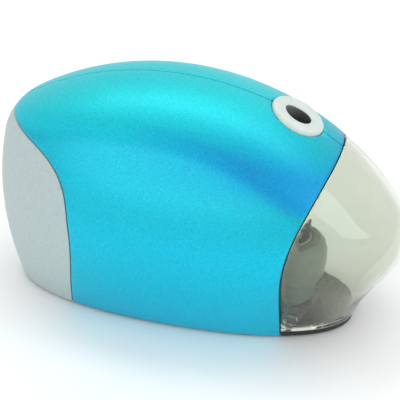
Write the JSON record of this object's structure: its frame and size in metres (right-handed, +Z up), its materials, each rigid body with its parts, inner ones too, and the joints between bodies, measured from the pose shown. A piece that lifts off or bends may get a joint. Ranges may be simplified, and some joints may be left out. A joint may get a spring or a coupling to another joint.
{
  "type": "pencil sharpener",
  "caption": "Egg-shaped battery pencil sharpener: coloured half shells, grey battery cover, pencil collar on top and a clear pull-off shavings receptacle at the nose.",
  "frame": {"origin": "on the surface it stands on, below the centre of its length and width", "axes": "+X towards the clear receptacle at the nose, +Z up, length along X"},
  "size_m": [0.131, 0.0698, 0.0774],
  "materials": {
    "blue_pearl_abs": "blue pearl abs",
    "grey_abs": "grey abs",
    "pale_grey_abs": "pale grey abs",
    "smoke_clear_polystyrene": "smoke clear polystyrene",
    "black_abs": "black abs",
    "dark_grey_abs": "dark grey abs",
    "mid_grey_abs": "mid grey abs",
    "natural_acetal": "natural acetal",
    "blade_steel": "blade steel",
    "plated_steel": "plated steel",
    "brass": "brass",
    "rubber": "rubber",
    "cell_sleeve": "cell sleeve",
    "magnesium_alloy": "magnesium alloy"
  },
  "bodies": {
    "housing": {"left_shell": "blue_pearl_abs", "right_shell": "blue_pearl_abs", "base_plate": "black_abs", "bulkhead": "dark_grey_abs", "pencil_collar": "pale_grey_abs", "pencil_guide": "dark_grey_abs", "start_switch": "black_abs", "cutter_cover": "mid_grey_abs", "carrier_bush": "natural_acetal", "carrier_pivot": "plated_steel", "gear_axles": "plated_steel", "gear_frame": "black_abs", "gear_plate": "black_abs", "motor_can": "plated_steel", "motor_end_cap": "black_abs", "motor_terminals": "brass", "battery_tray": "black_abs", "batteries": "cell_sleeve", "front_springs": "plated_steel", "front_contacts": "plated_steel", "interlock_switch": "black_abs", "feet": "rubber", "base_screws": "plated_steel", "plate_screws": "plated_steel"},
    "receptacle": {"shavings_receptacle": "smoke_clear_polystyrene"},
    "rear_cover": {"rear_cover": "grey_abs", "rear_contacts": "plated_steel", "rear_springs": "plated_steel"},
    "carrier": {"blade_carrier": "mid_grey_abs", "blade": "blade_steel", "blade_screw": "plated_steel", "carrier_gear": "natural_acetal"},
    "second_gear": {"second_gear": "natural_acetal"},
    "first_gear": {"first_gear": "natural_acetal"},
    "motor_rotor": {"motor_shaft": "plated_steel", "motor_pinion": "brass"},
    "start_plunger": {"start_plunger": "natural_acetal"},
    "interlock_plunger": {"interlock_plunger": "blue_pearl_abs"}
  },
  "joints": [
    {"name": "receptacle_slide", "type": "slide", "parent": "housing", "child": "receptacle", "axis": [1, 0, 0], "range_m": [0, 0.045]},
    {"name": "rear_cover_slide", "type": "slide", "parent": "housing", "child": "rear_cover", "axis": [-1, 0, 0], "range_m": [0, 0.035]},
    {"name": "carrier_spin", "type": "hinge", "parent": "housing", "child": "carrier", "pos_m": [0.0285, 0, 0.023], "axis": [0, 0, 1], "continuous": true},
    {"name": "second_gear_spin", "type": "hinge", "parent": "housing", "child": "second_gear", "pos_m": [0.0162, 0.00739, 0.026], "axis": [0, 0, 1], "continuous": true},
    {"name": "first_gear_spin", "type": "hinge", "parent": "housing", "child": "first_gear", "pos_m": [0.01123, -0.00253, 0.03], "axis": [0, 0, 1], "continuous": true},
    {"name": "motor_spin", "type": "hinge", "parent": "housing", "child": "motor_rotor", "pos_m": [0.00518, -0.01301, 0.04], "axis": [0, 0, 1], "continuous": true},
    {"name": "start_plunger_slide", "type": "slide", "parent": "housing", "child": "start_plunger", "axis": [1, 0, 0], "range_m": [-0.0015, 0], "stiffness_N_per_m": 150, "springref_m": 0.001},
    {"name": "interlock_plunger_slide", "type": "slide", "parent": "housing", "child": "interlock_plunger", "axis": [1, 0, 0], "range_m": [-0.001, 0], "stiffness_N_per_m": 150, "springref_m": 0.001}
  ],
  "couplings": [
    {"joint": "second_gear_spin", "follows": "carrier_spin", "ratio": -2.8},
    {"joint": "first_gear_spin", "follows": "carrier_spin", "ratio": 7.4667},
    {"joint": "motor_spin", "follows": "carrier_spin", "ratio": -22.4}
  ]
}
